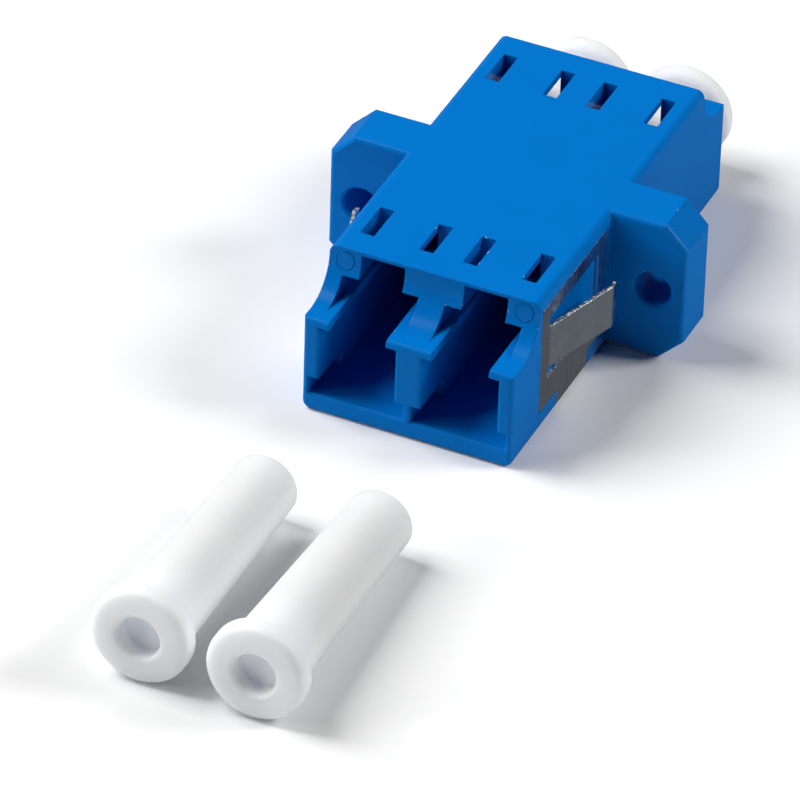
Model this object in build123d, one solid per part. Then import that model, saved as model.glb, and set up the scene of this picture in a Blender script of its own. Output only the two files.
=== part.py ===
"""Duplex fibre adapter with its panel clip, its two split sleeves and four dust caps.

Millimetres, real size. X runs across the two ports, Y along the plug direction with the
open ports at -Y, Z up from the underside of the housing. Each function builds one piece
or one detail of a piece, and the last lines write one STEP file for each piece.
"""
import os
from math import atan2, cos, degrees, radians, sin, tan

from build123d import *

# Interface sizes, set by the plug family and by the panel
port_pitch = 6.25
plug_width = 4.65
plug_height = 4.55
ferrule_dia = 1.25
sleeve_wall = 0.185
sleeve_length = 6.8
sleeve_slot = 0.3
hole_pitch = 18.0
hole_dia = 2.2
hole_rim = 0.15

# Housing
body_width = 12.8
body_length = 29.8
top_setback = 3.35
top_edge_radius = 0.5
base_edge_radius = 0.5
end_edge_radius = 0.3
mouth_round = 0.3
floor_thickness = 1.15
ledge_thickness = 0.55
ledge_gap = 3.5
lip_round = 0.2
lug_height = 1.2
latch_width = 2.65
latch_height = 1.23
roof_thickness = 0.42
latch_lead_height = 0.22
latch_lead_length = 0.5
foot_width = 5.75
foot_height = 1.05
foot_depth = 3.2
scoop_radius = 2.4
web_thickness = 1.2
web_back = 0.1
plate_thickness = 0.8
latch_stop = 3.0
slot_width = 0.85
slot_length = 2.7
slot_offset = 1.8
slot_inset = 1.75

# Flange
flange_width = 22.0
flange_thickness = 3.3
flange_chamfer = 1.4
flange_edge_radius = 0.3

# Sleeve barrels
barrel_dia = 2.8
barrel_lip = 0.5
ferrule_clearance = 0.075
sleeve_clearance = 0.05
sleeve_end_play = 0.1

# Panel clip, folded from one strip of sheet
sheet = 0.2
clip_gap = 0.05
clip_flange_gap = 0.7
clip_length = 8.77
clip_top = 8.3
clip_low = 1.35
clip_rail = 1.0
clip_tab_inset = 2.5
clip_tab_length = 4.2
window_low = 3.1
leaf_low = 3.84
leaf_high = 6.6
leaf_angle = 18.0
leaf_bend_radius = 1.0
leaf_run = 5.05
leaf_tip_radius = 0.4
leaf_tip_angle = 24.0
leaf_tip_run = 0.35
clip_corner = 0.3

# Dust caps
head_dia = 5.83
head_thickness = 1.4
head_front_round = 0.55
head_back_bevel = 0.3
head_gap = 1.24
cap_fit = 0.012
cap_taper = 1.25
cap_edge_bevel = 0.15
cap_bore_clearance = 0.075
cap_bore_depth = 12.4
cap_seat_gap = 0.02
recess_dia = 2.55
recess_depth = 1.0
recess_rim = 0.15

# Where the two caps that are taken off lie on the floor: X, Y and the turn about Z
loose_caps = {"left": (-3.78, -41.08, 0.97), "right": (3.08, -41.14, 0.63)}

# How far a cutter runs past the face it opens, and how deep joined pieces overlap
overrun = 1.0
merge = 0.2

# An eighth of a turn, to the middle of a quarter arc
eighth = radians(45)

# Derived sizes; the housing is as high as what is stacked in a port
half_width = body_width / 2
half_length = body_length / 2
top_end = half_length - top_setback
port_x = port_pitch / 2
axis_z = floor_thickness + plug_height / 2
ledge_under = floor_thickness + plug_height
ledge_top = ledge_under + ledge_thickness
block_under = ledge_top + lug_height
roof_under = block_under + latch_height
body_height = roof_under + roof_thickness
sleeve_dia = ferrule_dia + 2 * sleeve_wall
sleeve_room_dia = sleeve_dia + 2 * sleeve_clearance
sleeve_room_length = sleeve_length + sleeve_end_play
lip_bore_dia = ferrule_dia + 2 * ferrule_clearance
barrel_end = sleeve_room_length / 2 + barrel_lip
web_front = web_back - web_thickness
plate_back = web_back + plate_thickness
clip_back = flange_thickness / 2 + clip_flange_gap
clip_front = clip_back + clip_length
clip_tab_front = clip_front - clip_tab_inset
clip_tab_back = clip_tab_front - clip_tab_length
cap_tip_y = plate_back + cap_seat_gap
cap_length = half_length + head_gap + head_thickness - cap_tip_y
cap_bore_dia = barrel_dia + 2 * cap_bore_clearance


def block(x0, x1, y0, y1, z0, z1):
    """Plain box between two corners."""
    return Pos((x0 + x1) / 2, (y0 + y1) / 2, (z0 + z1) / 2) * Box(x1 - x0, y1 - y0, z1 - z0)


def along_y(section, y0, y1):
    """Stretch a section drawn in X and Z from y0 to y1."""
    return Pos(0, y1, 0) * extrude(Plane.XZ * section, amount=y1 - y0)


def rounded_bar(width, low, high, top_radius, base_radius):
    """Section centred on X with one radius at the top corners and one at the base."""
    section = Pos(0, (low + high) / 2) * Rectangle(width, high - low)
    if top_radius:
        section = fillet(section.vertices().group_by(Axis.Y)[-1], top_radius)
    if base_radius:
        section = fillet(section.vertices().group_by(Axis.Y)[0], base_radius)
    return section


def rod_y(dia, y0, y1, x=0.0, z=0.0):
    """Round bar along Y."""
    return Pos(x, (y0 + y1) / 2, z) * Rot(90, 0, 0) * Cylinder(dia / 2, y1 - y0)


def both_ends(cutter):
    """The cutter and its mirror image at the other end of the housing."""
    return [cutter, mirror(cutter, about=Plane.XZ)]


def outer_body():
    """Housing bar with rounded long edges and softly broken end corners."""
    section = rounded_bar(body_width, 0, body_height, top_edge_radius, base_edge_radius)
    bar = along_y(section, -half_length, half_length)
    ends = bar.faces().filter_by(Axis.Y)
    rims = [edge for face in ends for edge in face.outer_wire().edges()]
    return fillet(rims, end_edge_radius)


def flange():
    """Mounting flange, flush with the top and the underside, corners cut at 45 degrees."""
    outline = Pos(0, body_height / 2) * Rectangle(flange_width, body_height)
    outline = chamfer(outline.vertices(), flange_chamfer)
    plate = along_y(outline, -flange_thickness / 2, flange_thickness / 2)
    rims = [edge for face in plate.faces().filter_by(Axis.Y) for edge in face.outer_wire().edges()]
    return fillet(rims, flange_edge_radius)


def scoop_cutter():
    """Hollow sweep across the full width, from the roof edge down to the ledges at the mouth."""
    out = -half_length - overrun
    above = body_height + overrun
    centre_y = -top_end - scoop_radius
    centre_z = ledge_top + scoop_radius
    round_y = -half_length + mouth_round
    round_z = ledge_top - mouth_round
    arc_mid = (0, centre_y + scoop_radius * sin(eighth), centre_z - scoop_radius * cos(eighth))
    round_mid = (0, round_y - mouth_round * sin(eighth), round_z + mouth_round * cos(eighth))
    outline = [
        Line((0, out, round_z), (0, -half_length, round_z)),
        ThreePointArc((0, -half_length, round_z), round_mid, (0, round_y, ledge_top)),
        Line((0, round_y, ledge_top), (0, centre_y, ledge_top)),
        ThreePointArc((0, centre_y, ledge_top), arc_mid, (0, -top_end, centre_z)),
        Line((0, -top_end, centre_z), (0, -top_end, above)),
        Line((0, -top_end, above), (0, out, above)),
        Line((0, out, above), (0, out, round_z)),
    ]
    profile = make_face(Wire(outline))
    return extrude(profile, amount=body_width, dir=(1, 0, 0), both=True)


def passage(x, z0, z1, width, stop, lip=0.0):
    """Straight passage from the mouth at -Y back to stop, its mouth widened by a round lip."""
    bar = block(x - width / 2, x + width / 2, -half_length - overrun, stop, z0, z1)
    if not lip:
        return bar
    side = width / 2 + lip + overrun
    cutter = bar + block(x - side, x + side, -half_length - overrun, -half_length,
                         z0 - lip - overrun, z1 + lip + overrun)
    base = cutter.faces().filter_by(Plane.XZ).sort_by(Axis.Y)[1]
    return fillet(base.inner_wires()[0].edges(), lip)


def port_cutters(x, floor_stop, rear=False):
    """All passages of one port, opening at -Y, or at +Y when rear is set."""
    cutters = [
        passage(x, floor_thickness, ledge_under, plug_width, -floor_stop, lip_round),
        passage(x, floor_thickness, floor_thickness + foot_height, foot_width,
                -half_length + foot_depth, lip_round),
        passage(x, ledge_top, block_under, plug_width, -latch_stop),
        passage(x, ledge_under - merge, ledge_top + merge, ledge_gap, -latch_stop),
        passage(x, block_under - merge, roof_under, latch_width, -latch_stop),
        latch_lead(x),
    ]
    cutters += latch_windows(x)
    if rear:
        cutters = [mirror(cutter, about=Plane.XZ) for cutter in cutters]
    return cutters


def latch_lead(x):
    """Slope that thins the roof at its front edge and leads the latch in."""
    out = -top_end - overrun
    slope = Polyline(
        (0, out, roof_under),
        (0, -top_end + latch_lead_length, roof_under),
        (0, -top_end, roof_under + latch_lead_height),
        (0, out, roof_under + latch_lead_height),
        close=True,
    )
    wedge = extrude(make_face(slope), amount=latch_width / 2, dir=(1, 0, 0), both=True)
    return Pos(x, 0, 0) * wedge


def latch_windows(x):
    """Two catch pockets beside the latch passage, each with a slot up through the roof."""
    y0 = -top_end + slot_inset
    y1 = y0 + slot_length
    reach = slot_offset + slot_width / 2
    cutters = [block(x - reach, x + reach, y0, y1, block_under - merge, roof_under)]
    for side in (-1, 1):
        middle = x + side * slot_offset
        cutters.append(
            block(middle - slot_width / 2, middle + slot_width / 2, y0, y1,
                  roof_under - merge, body_height + overrun)
        )
    return cutters


def flange_hole_cutters():
    """Through holes of the flange with a small bevel at both mouths."""
    cutters = []
    half = flange_thickness / 2
    for side in (-1, 1):
        x = side * hole_pitch / 2
        cutters.append(rod_y(hole_dia, -half - overrun, half + overrun, x, body_height / 2))
        for end in (-1, 1):
            bevel = Cone(hole_dia / 2, hole_dia / 2 + 2 * hole_rim, 2 * hole_rim)
            turn = Rot(90, 0, 0) if end < 0 else Rot(-90, 0, 0)
            cutters.append(Pos(x, end * half, body_height / 2) * turn * bevel)
    return cutters


def clip_seat_cutters():
    """Shallow seat for the clip on both sides and under the housing."""
    cutters = []
    inner = half_width - sheet
    for side in (-1, 1):
        x0, x1 = sorted((side * inner, side * (half_width + overrun)))
        cutters.append(
            block(x0, x1, -clip_front - clip_gap, -clip_back + clip_gap,
                  clip_low - clip_gap, clip_top + clip_gap)
        )
    wrap = block(-half_width - overrun, half_width + overrun, -clip_tab_front - clip_gap,
                 -clip_tab_back + clip_gap, -overrun, clip_low)
    core = along_y(clip_inner_section(), -half_length, half_length)
    cutters.append(wrap - core)
    return cutters


def clip_inner_section():
    """Section of the housing that the folded clip hugs."""
    return rounded_bar(body_width - 2 * sheet, sheet, body_height, 0, base_edge_radius - sheet)


def housing():
    """One-piece moulded housing with the front half of each sleeve barrel."""
    body = outer_body() + flange()
    cutters = both_ends(scoop_cutter())
    for x in (-port_x, port_x):
        cutters += port_cutters(x, -web_front)
        cutters += port_cutters(x, web_back, rear=True)
    body = body - (cutters + flange_hole_cutters() + clip_seat_cutters())
    for x in (-port_x, port_x):
        body = body + rod_y(barrel_dia, -barrel_end, web_front + merge, x, axis_z)
    rooms = []
    for x in (-port_x, port_x):
        rooms.append(rod_y(sleeve_room_dia, -sleeve_room_length / 2, web_back + overrun, x, axis_z))
        rooms.append(rod_y(lip_bore_dia, -barrel_end - overrun, 0, x, axis_z))
    return body - rooms


def sleeve_retainer(x):
    """Plate pressed into the rear port, with the rear half of the sleeve barrel."""
    plate = block(x - plug_width / 2, x + plug_width / 2, web_back, plate_back, floor_thickness, ledge_under)
    part = plate + rod_y(barrel_dia, web_back, barrel_end, x, axis_z)
    part = part - rod_y(sleeve_room_dia, web_back - overrun, sleeve_room_length / 2, x, axis_z)
    return part - rod_y(lip_bore_dia, web_back, barrel_end + overrun, x, axis_z)


def split_sleeve(x):
    """Slotted tube that lines up two ferrules, resting against the front lip."""
    front = -sleeve_room_length / 2
    back = front + sleeve_length
    tube = rod_y(sleeve_dia, front, back, x, axis_z)
    tube = tube - rod_y(ferrule_dia, front - overrun, back + overrun, x, axis_z)
    return tube - block(x - sleeve_slot / 2, x + sleeve_slot / 2, front - overrun, back + overrun,
                        axis_z, axis_z + sleeve_dia)


def strip_outline(start, heading, steps, thickness):
    """Closed outline of a bent strip, from its centre line given as runs and bends."""
    near, far = [], []
    x, y, angle = start[0], start[1], radians(heading)

    def offset(px, py, turn, side):
        return (px - side * thickness / 2 * sin(turn), py + side * thickness / 2 * cos(turn))

    first = [offset(x, y, angle, side) for side in (1, -1)]
    for kind, size, bend in steps:
        if kind == "run":
            nx, ny, nangle = x + size * cos(angle), y + size * sin(angle), angle
        else:
            hand = 1 if bend > 0 else -1
            cx, cy = x - hand * size * sin(angle), y + hand * size * cos(angle)
            nangle = angle + radians(bend)
            nx, ny = cx + hand * size * sin(nangle), cy - hand * size * cos(nangle)
        for side, edges in ((1, near), (-1, far)):
            a = offset(x, y, angle, side)
            b = offset(nx, ny, nangle, side)
            if kind == "run":
                edges.append(Line(a, b))
            else:
                mid = (angle + nangle) / 2
                mx, my = cx + hand * size * sin(mid), cy - hand * size * cos(mid)
                edges.append(ThreePointArc(a, offset(mx, my, mid, side), b))
        x, y, angle = nx, ny, nangle
    last = [offset(x, y, angle, side) for side in (1, -1)]
    return make_face(Wire(near + [Line(last[0], last[1])] + far + [Line(first[0], first[1])]))


def clip_leaf():
    """Leaf arm of the +X side: leaves the front rail, swings outwards, ends in a bent tip."""
    root = (half_width - sheet / 2, -clip_front + clip_rail - merge)
    steps = [
        ("run", merge, 0),
        ("bend", leaf_bend_radius, -leaf_angle),
        ("run", leaf_run, 0),
        ("bend", leaf_tip_radius, leaf_tip_angle),
        ("run", leaf_tip_run, 0),
    ]
    outline = strip_outline(root, 90, steps, sheet)
    leaf = extrude(outline, amount=leaf_high - leaf_low)
    return Pos(0, 0, leaf_low) * leaf


def clip_side():
    """Side plate of the +X side: a frame with a window, seated on the housing wall."""
    x0, x1 = half_width - sheet, half_width
    frame = block(x0, x1, -clip_front, -clip_back, clip_low, clip_top)
    frame = fillet(frame.edges().filter_by(Axis.X), clip_corner)
    window = block(x0 - overrun, x1 + overrun, -clip_front + clip_rail, -clip_back - clip_rail,
                   window_low, clip_top - clip_rail)
    window = fillet(window.edges().filter_by(Axis.X), clip_corner / 2)
    return frame - window


def clip_strap():
    """Strap that runs down one side, under the housing and up the other side."""
    outer = rounded_bar(body_width, 0, window_low - clip_corner, 0, base_edge_radius)
    strap = along_y(outer, -clip_tab_front, -clip_tab_back)
    core = along_y(clip_inner_section(), -clip_front, -clip_back)
    return strap - core


def panel_clip():
    """Spring clip: one strap, two side plates, two leaf arms, all one folded sheet."""
    side = clip_side() + clip_leaf()
    return clip_strap() + side + mirror(side, about=Plane.YZ)


def barrel_radius(along):
    """Outer radius of a cap's tapered barrel, measured from the head face towards the tip."""
    snug = min(plug_width, plug_height) / 2 - cap_fit
    lip_along = head_thickness + head_gap + lip_round
    return snug + (lip_along - along) * tan(radians(cap_taper))


def cap_profile():
    """Half section of a dust cap, radius along X and length along Y from the head face."""
    head = head_dia / 2
    bore = cap_bore_dia / 2
    recess = recess_dia / 2
    neck = barrel_radius(head_thickness)
    tip = barrel_radius(cap_length)
    front = Bezier((head - head_front_round, 0), (head, 0), (head, head_front_round))
    back = Polyline(
        (head, head_front_round),
        (head, head_thickness - head_back_bevel),
        (head - head_back_bevel, head_thickness),
        (neck, head_thickness),
    )
    # A curve with two poles is as straight as a line, and its revolved face stays light
    side = Bezier((neck, head_thickness), (tip, cap_length - cap_edge_bevel))
    inside = Polyline(
        (tip, cap_length - cap_edge_bevel),
        (tip - cap_edge_bevel, cap_length),
        (bore, cap_length),
        (bore, cap_length - cap_bore_depth),
        (0, cap_length - cap_bore_depth),
        (0, recess_depth),
        (recess, recess_depth),
        (recess, recess_rim),
        (recess + recess_rim, 0),
        (head - head_front_round, 0),
    )
    return make_face(Wire([front, side] + back.edges() + inside.edges()))


def dust_cap():
    """Dust cap standing along +Y, centre of the head face at the origin."""
    return revolve(cap_profile(), axis=Axis.Y)


def fitted_cap(x):
    """Cap pushed into a rear port, head outside, hollow end over the sleeve barrel."""
    return Pos(x, cap_tip_y + cap_length, axis_z) * Rot(0, 0, 180) * dust_cap()


def loose_cap(x, y, turn):
    """Cap lying on the floor on its head's widest ring and on the rim of its tip."""
    ring = head_thickness - head_back_bevel
    tip_rim = cap_length - cap_edge_bevel
    tilt = atan2(head_dia / 2 - barrel_radius(cap_length), tip_rim - ring)
    lift = head_dia / 2 * cos(tilt) + ring * sin(tilt)
    return Pos(x, y, lift) * Rot(0, 0, turn) * Rot(-degrees(tilt), 0, 0) * dust_cap()


def all_parts():
    """Every separate piece by name."""
    parts = {"housing": housing(), "panel_clip": panel_clip()}
    for name, side in (("left", -1), ("right", 1)):
        parts["sleeve_retainer_" + name] = sleeve_retainer(side * port_x)
        parts["split_sleeve_" + name] = split_sleeve(side * port_x)
        parts["rear_cap_" + name] = fitted_cap(side * port_x)
        parts["loose_cap_" + name] = loose_cap(*loose_caps[name])
    return parts


os.makedirs("parts", exist_ok=True)
for name, part in all_parts().items():
    export_step(part, "parts/" + name + ".step")
    box = part.bounding_box()
    print(name, round(part.volume, 3), box.min, box.max, len(part.solids()))
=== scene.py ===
"""Looks of a duplex fibre adapter with its panel clip and white dust caps.

Lengths are in metres and the axes are the part's own: X across the two ports, Y along the
plug direction with the open ports at -Y, Z up from the underside of the housing.
"""

from math import cos, radians, sin

import bpy
from mathutils import Matrix, Vector

MM = 0.001

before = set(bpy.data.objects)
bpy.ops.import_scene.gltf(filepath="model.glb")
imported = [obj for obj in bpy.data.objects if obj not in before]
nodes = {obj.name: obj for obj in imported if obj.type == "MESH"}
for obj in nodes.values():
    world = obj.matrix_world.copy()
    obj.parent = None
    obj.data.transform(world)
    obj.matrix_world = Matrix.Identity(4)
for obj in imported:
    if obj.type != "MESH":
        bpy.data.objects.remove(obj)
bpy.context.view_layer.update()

# Camera, from the photograph's perspective
camera_azimuth = 23.546
camera_elevation = 36.746
camera_roll = 1.895
camera_distance = 473.01 * MM
camera_aim = Vector((0.662, -17.317, 4.5)) * MM
camera_sensor = 36.0
camera_lens = 386.68
camera_near = 0.01

# Softboxes, floor and surroundings
light_aim = Vector((0, -10, 4)) * MM
light_distance = 0.45
floor_size = 4.0
floor_drop = 0.01 * MM
surroundings_dim = 0.07
surroundings_pale = 0.165

# Colours, linear
blue = (0.0004, 0.165, 0.555)
blue_light = (0.0006, 0.190, 0.610)
steel = (0.76, 0.80, 0.86)
steel_light = (0.86, 0.89, 0.93)
steel_dark = (0.62, 0.66, 0.72)
# Sheared edges of the clip: near-black, with glints painted on as pale dots
steel_sheared = (0.10, 0.10, 0.11)
steel_painted_glint = (0.88, 0.89, 0.90)
cap_milky = (0.89, 0.90, 0.92)
cap_white = (0.86, 0.88, 0.91)
ceramic_white = (0.86, 0.84, 0.79)
ceramic_pale = (0.90, 0.88, 0.84)
# Pale specks: dust, and on the blue plastic's edges also painted glints
speck = (0.70, 0.80, 0.90)
speck_dark = (0.30, 0.31, 0.33)
floor_white = (0.95, 0.95, 0.95)
surroundings_white = (0.88, 0.93, 1.0)

# Radii that the sharp edges are rounded off by, in millimetres
housing_edge = 0.1
clip_edge = 0.05
cap_edge = 0.22
sleeve_edge = 0.03

# Marks that the mould's pins leave on the scooped fronts, in millimetres
pin_mark_x = 5.44
pin_mark_z = 8.33
pin_mark_radius = 0.55
pin_mark_ring = 0.07
pin_mark_slope = 0.05
pin_mark_depth = 0.08
pin_mark_from_y = 11.2

# Height of the clip's strap, whose flat face lies level and isn't a sheared edge, in millimetres
strap_height = 1.0

# Upward or downward part of a face's direction, out of 1, from which the face counts as level
level_from = 0.8

# Factors that draw the brush streaks out along the folded strip
streak_stretch = (0.06, 1.0, 0.06)

# Height of the pits between the brush streaks, as a share of the streaks' own height
pit_share = 0.3

# Range that most of a noise lies in
noise_low = 0.3
noise_high = 0.7


def feed(tree, made, inputs):
    """Set a node's inputs to values or link them to sockets."""
    for key, value in inputs.items():
        socket = made.inputs[key]
        if isinstance(value, bpy.types.NodeSocket):
            tree.links.new(value, socket)
        elif socket.type == "RGBA":
            socket.default_value = (*value, 1.0)
        else:
            socket.default_value = value


def node(tree, kind, inputs, **settings):
    """Shader node with its settings and inputs."""
    made = tree.nodes.new("ShaderNode" + kind)
    for key, value in settings.items():
        setattr(made, key, value)
    feed(tree, made, inputs)
    return made


def new_material(name):
    """Node material with an empty principled shader."""
    material = bpy.data.materials.new(name)
    material.use_nodes = True
    tree = material.node_tree
    tree.nodes.clear()
    shader = node(tree, "BsdfPrincipled", {})
    node(tree, "OutputMaterial", {"Surface": shader.outputs["BSDF"]})
    return material, tree, shader


def calc(tree, operation, a, b=0.0, c=0.0):
    """Result of one math node."""
    return node(tree, "Math", {0: a, 1: b, 2: c}, operation=operation).outputs[0]


def mix_colour(tree, factor, a, b):
    """Mix of two colours, each a value or a socket; the node's colour inputs are numbers 6 and 7."""
    return node(tree, "Mix", {"Factor": factor, 6: a, 7: b}, data_type="RGBA").outputs[2]


def place_in_mm(tree, stretch=(1.0, 1.0, 1.0)):
    """The point on the piece in millimetres; a factor under 1 draws patterns out along that axis."""
    place = node(tree, "TexCoord", {}).outputs["Object"]
    scale = tuple(factor / MM for factor in stretch)
    return node(tree, "Mapping", {"Vector": place, "Scale": scale}).outputs[0]


def noise(tree, place, scale, detail=2.0, roughness=0.5):
    """Noise between 0 and 1, scale in waves for each millimetre."""
    inputs = {"Vector": place, "Scale": scale, "Detail": detail, "Roughness": roughness}
    return node(tree, "TexNoise", inputs).outputs["Fac"]


def ramp(tree, value, low, high, out_low=0.0, out_high=1.0):
    """Value mapped from one range to another and kept inside it."""
    inputs = {"Value": value, "From Min": low, "From Max": high, "To Min": out_low, "To Max": out_high}
    return node(tree, "MapRange", inputs, clamp=True).outputs[0]


def wander(tree, pattern, low, high):
    """Value that wanders between low and high as a noise pattern does."""
    return ramp(tree, pattern, noise_low, noise_high, low, high)


def specks(tree, place, cell, radius, share):
    """Sparse round dust specks: cell size and radius in millimetres, share of cells that hold one."""
    cells = node(tree, "TexVoronoi", {"Vector": place, "Scale": 1.0 / cell})
    near = calc(tree, "LESS_THAN", cells.outputs["Distance"], radius / cell)
    pick = node(tree, "SeparateColor", {"Color": cells.outputs["Color"]}).outputs[0]
    return calc(tree, "MULTIPLY", near, calc(tree, "LESS_THAN", pick, share))


def pin_marks(tree, place):
    """Height of the shallow ringed discs that ejector pins leave at both ends of the housing."""
    parts = node(tree, "SeparateXYZ", {"Vector": place})
    across = calc(tree, "SUBTRACT", calc(tree, "ABSOLUTE", parts.outputs["X"]), pin_mark_x)
    up = calc(tree, "SUBTRACT", parts.outputs["Z"], pin_mark_z)
    across_squared = calc(tree, "MULTIPLY", across, across)
    reach = calc(tree, "SQRT", calc(tree, "MULTIPLY_ADD", up, up, across_squared))
    off_ring = calc(tree, "ABSOLUTE", calc(tree, "SUBTRACT", reach, pin_mark_radius))
    ring = ramp(tree, off_ring, 0.0, pin_mark_ring, out_low=1.0, out_high=0.0)
    disc_from = pin_mark_radius - pin_mark_slope
    disc = ramp(tree, reach, disc_from, pin_mark_radius, out_low=0.5, out_high=0.0)
    at_end = calc(tree, "GREATER_THAN", calc(tree, "ABSOLUTE", parts.outputs["Y"]), pin_mark_from_y)
    return calc(tree, "MULTIPLY", calc(tree, "MAXIMUM", ring, disc), at_end)


def soft_edges(tree, radius):
    """Surface normal with every sharp edge rounded off by radius, in millimetres."""
    return node(tree, "Bevel", {"Radius": radius * MM}, samples=6).outputs["Normal"]


def edge_dust_and_glints(tree, place, rounded):
    """Sparse bright specks on the edges, where the rounded normal leaves the flat one: partly dust,
    partly painted glints.
    """
    flat = node(tree, "NewGeometry", {}).outputs["Normal"]
    same = node(tree, "VectorMath", {0: rounded, 1: flat}, operation="DOT_PRODUCT").outputs["Value"]
    on_edge = ramp(tree, same, low=0.88, high=0.97, out_low=1.0, out_high=0.0)
    spots = ramp(tree, noise(tree, place, scale=2.6, detail=1.0), low=0.70, high=0.73)
    return calc(tree, "MULTIPLY", on_edge, spots)


def bump(tree, height, distance, normal):
    """Normal raised by a height between 0 and 1, distance in millimetres."""
    inputs = {"Height": height, "Distance": distance * MM, "Strength": 1.0, "Normal": normal}
    return node(tree, "Bump", inputs).outputs["Normal"]


def blue_plastic():
    """Satin moulded blue plastic with faint grain, flow clouds, pin marks, dust and painted glints on
    the edges.
    """
    material, tree, shader = new_material("blue_plastic")
    place = place_in_mm(tree)
    rounded = soft_edges(tree, housing_edge)
    flow = noise(tree, place, scale=0.22, detail=3.0)
    clouds = ramp(tree, flow, low=0.35, high=0.65, out_high=0.18)
    tint = mix_colour(tree, clouds, blue, blue_light)
    lone_dust = specks(tree, place, cell=2.3, radius=0.055, share=0.10)
    # Dust, and bright edge specks that are partly painted glints
    dust = calc(tree, "MAXIMUM", lone_dust, edge_dust_and_glints(tree, place, rounded))
    grain = noise(tree, place, scale=26.0, detail=3.0, roughness=0.6)
    grained = bump(tree, grain, distance=0.0012, normal=rounded)
    feed(tree, shader, {
        "Base Color": mix_colour(tree, dust, tint, speck),
        "Roughness": wander(tree, noise(tree, place, scale=1.6, detail=4.0), low=0.18, high=0.25),
        "Specular IOR Level": 0.08,
        "Normal": bump(tree, pin_marks(tree, place), pin_mark_depth, grained),
    })
    return material


def sheared_edges(tree, place):
    """1 on the clip's sheared edges, its level faces above the strap, and 0 elsewhere."""
    surface = node(tree, "TexCoord", {}).outputs["Normal"]
    facing = node(tree, "SeparateXYZ", {"Vector": surface}).outputs["Z"]
    level = calc(tree, "GREATER_THAN", calc(tree, "ABSOLUTE", facing), level_from)
    up = node(tree, "SeparateXYZ", {"Vector": place}).outputs["Z"]
    return calc(tree, "MULTIPLY", level, calc(tree, "GREATER_THAN", up, strap_height))


def spring_steel():
    """Rolled steel strip: brush streaks along the strip, cloudy patches, and near-black sheared edges
    with painted glints.
    """
    material, tree, shader = new_material("spring_steel")
    place = place_in_mm(tree)
    streak_place = place_in_mm(tree, streak_stretch)
    streaks = noise(tree, streak_place, scale=14.0, detail=3.0)
    patches = noise(tree, place, scale=0.9, detail=3.0)
    tone = mix_colour(tree, wander(tree, streaks, low=0.0, high=0.5), steel, steel_light)
    tone = mix_colour(tree, ramp(tree, patches, low=0.35, high=0.7, out_high=0.4), tone, steel_dark)
    sheared = sheared_edges(tree, place)
    # Painted glints: pale dots painted on the sheared edges in place of highlights
    dots = ramp(tree, noise(tree, place, scale=5.5, roughness=0.7), low=0.47, high=0.58)
    painted_edge_glints = mix_colour(tree, dots, steel_sheared, steel_painted_glint)
    pits = noise(tree, place, scale=18.0, detail=3.0)
    height = calc(tree, "MULTIPLY_ADD", pits, pit_share, streaks)
    feed(tree, shader, {
        "Base Color": mix_colour(tree, sheared, tone, painted_edge_glints),
        "Metallic": ramp(tree, sheared, low=0.0, high=1.0, out_low=1.0, out_high=0.25),
        "Roughness": wander(tree, noise(tree, streak_place, scale=9.0), low=0.20, high=0.30),
        "Normal": bump(tree, height, distance=0.0003, normal=soft_edges(tree, clip_edge)),
    })
    return material


def cap_plastic():
    """Soft white polyethylene that lets a little light through, with faint clouds and specks."""
    material, tree, shader = new_material("cap_plastic")
    place = place_in_mm(tree)
    clouds = ramp(tree, noise(tree, place, scale=0.30, detail=3.0), low=0.35, high=0.65)
    tint = mix_colour(tree, clouds, cap_white, cap_milky)
    dust = specks(tree, place, cell=3.1, radius=0.06, share=0.12)
    grain = noise(tree, place, scale=14.0, detail=3.0)
    feed(tree, shader, {
        "Base Color": mix_colour(tree, dust, tint, speck_dark),
        "Roughness": wander(tree, noise(tree, place, scale=2.2, detail=3.0), low=0.42, high=0.52),
        "Subsurface Weight": 1.0,
        "Subsurface Radius": (1.0, 1.0, 1.1),
        "Subsurface Scale": 1.35 * MM,
        "Specular IOR Level": 0.4,
        "Normal": bump(tree, grain, distance=0.0015, normal=soft_edges(tree, cap_edge)),
    })
    return material


def zirconia():
    """Polished white ceramic of the split sleeves."""
    material, tree, shader = new_material("zirconia")
    place = place_in_mm(tree)
    clouds = noise(tree, place, scale=1.2)
    grain = noise(tree, place, scale=30.0)
    feed(tree, shader, {
        "Base Color": mix_colour(tree, clouds, ceramic_white, ceramic_pale),
        "Roughness": wander(tree, clouds, low=0.10, high=0.18),
        "Normal": bump(tree, grain, distance=0.0005, normal=soft_edges(tree, sleeve_edge)),
    })
    return material


def floor_finish():
    """Matte white studio board, a little uneven in how rough it is."""
    material, tree, shader = new_material("floor")
    patches = noise(tree, place_in_mm(tree), scale=0.5)
    feed(tree, shader, {
        "Base Color": floor_white,
        "Roughness": ramp(tree, patches, low=0.0, high=1.0, out_low=0.85, out_high=0.95),
        "Specular IOR Level": 0.0,
    })
    return material


def dress(material, names):
    """Give CAD nodes their finish."""
    for name in names:
        data = nodes[name].data
        data.materials.clear()
        data.materials.append(material)


def add_floor():
    """Large plain floor that takes the shadows and lights the part from below, unmirrored in it."""
    bpy.ops.mesh.primitive_plane_add(size=floor_size, location=(0, 0, -floor_drop))
    floor = bpy.context.object
    floor.name = "studio_floor"
    floor.visible_glossy = False
    floor.data.materials.append(floor_finish())


def aim_from(thing, place, aim, roll=0.0):
    """Stand an object at a place with its -Z axis on the aim."""
    turn = (aim - place).to_track_quat("-Z", "Y").to_matrix().to_4x4()
    thing.matrix_world = Matrix.Translation(place) @ turn @ Matrix.Rotation(radians(roll), 4, "Z")


def away(azimuth, elevation):
    """Direction from the part, azimuth 0 towards -Y and 90 towards +X, in degrees."""
    turn, rise = radians(azimuth), radians(elevation)
    return Vector((sin(turn) * cos(rise), -cos(turn) * cos(rise), sin(rise)))


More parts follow.
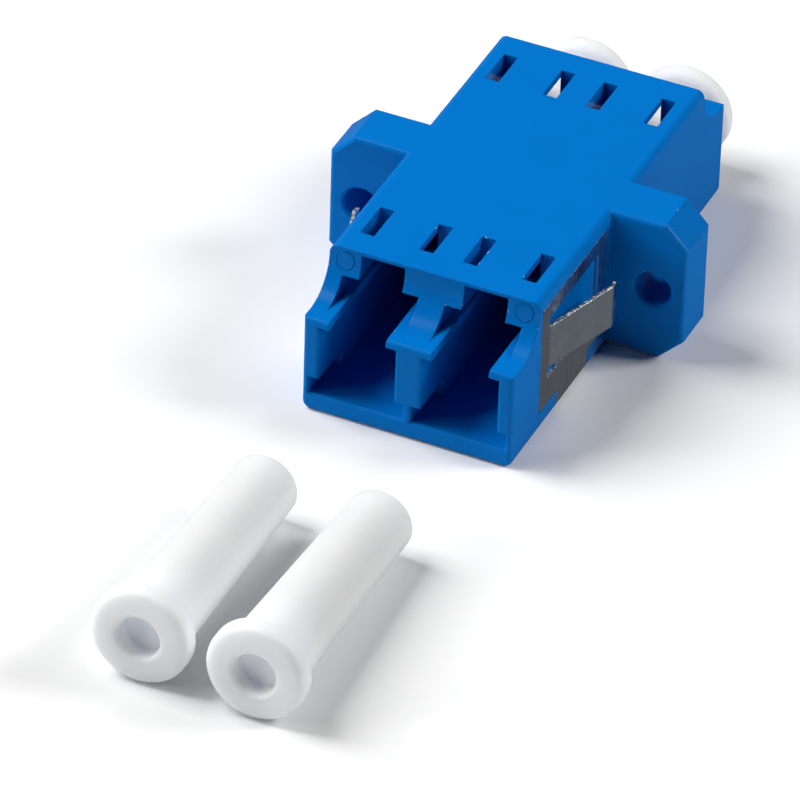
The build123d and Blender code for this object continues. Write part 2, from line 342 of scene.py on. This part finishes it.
def add_softbox(name, azimuth, elevation, width, height, power):
    """Softbox aimed at the middle of the part from a direction, width and height in metres."""
    light = bpy.data.lights.new(name, "AREA")
    light.shape = "RECTANGLE"
    light.size = width
    light.size_y = height
    light.energy = power
    lamp = bpy.data.objects.new(name, light)
    bpy.context.scene.collection.objects.link(lamp)
    aim_from(lamp, light_aim + away(azimuth, elevation) * light_distance, light_aim)


def add_world():
    """Dim surroundings that get paler towards both sides and throw no light on matte surfaces."""
    world = bpy.data.worlds.new("studio")
    world.use_nodes = True
    tree = world.node_tree
    heading = node(tree, "TexCoord", {}).outputs["Generated"]
    across = node(tree, "SeparateXYZ", {"Vector": heading}).outputs["X"]
    sideways = calc(tree, "ABSOLUTE", across)
    strength = ramp(tree, sideways, low=0.2, high=0.8,
                    out_low=surroundings_dim, out_high=surroundings_pale)
    feed(tree, tree.nodes["Background"], {"Color": surroundings_white, "Strength": strength})
    bpy.context.scene.world = world
    world.cycles_visibility.diffuse = False


def add_camera():
    """Camera at the photograph's angle."""
    data = bpy.data.cameras.new("camera")
    data.sensor_width = camera_sensor
    data.lens = camera_lens
    data.clip_start = camera_near
    camera = bpy.data.objects.new("camera", data)
    bpy.context.scene.collection.objects.link(camera)
    back = away(camera_azimuth, camera_elevation) * camera_distance
    aim_from(camera, camera_aim + back, camera_aim, camera_roll)
    bpy.context.scene.camera = camera


dress(blue_plastic(), ["housing", "sleeve_retainer_left", "sleeve_retainer_right"])
dress(spring_steel(), ["panel_clip"])
dress(cap_plastic(), ["rear_cap_left", "rear_cap_right", "loose_cap_left", "loose_cap_right"])
dress(zirconia(), ["split_sleeve_left", "split_sleeve_right"])

add_floor()
add_world()
add_softbox("left_softbox", azimuth=-84, elevation=50, width=0.20, height=0.30, power=2.05)
add_softbox("front_softbox", azimuth=-52, elevation=24, width=0.12, height=0.12, power=0.45)
add_softbox("right_softbox", azimuth=117, elevation=36, width=0.15, height=0.15, power=1.1)
add_camera()
bpy.context.scene.view_settings.view_transform = "Standard"
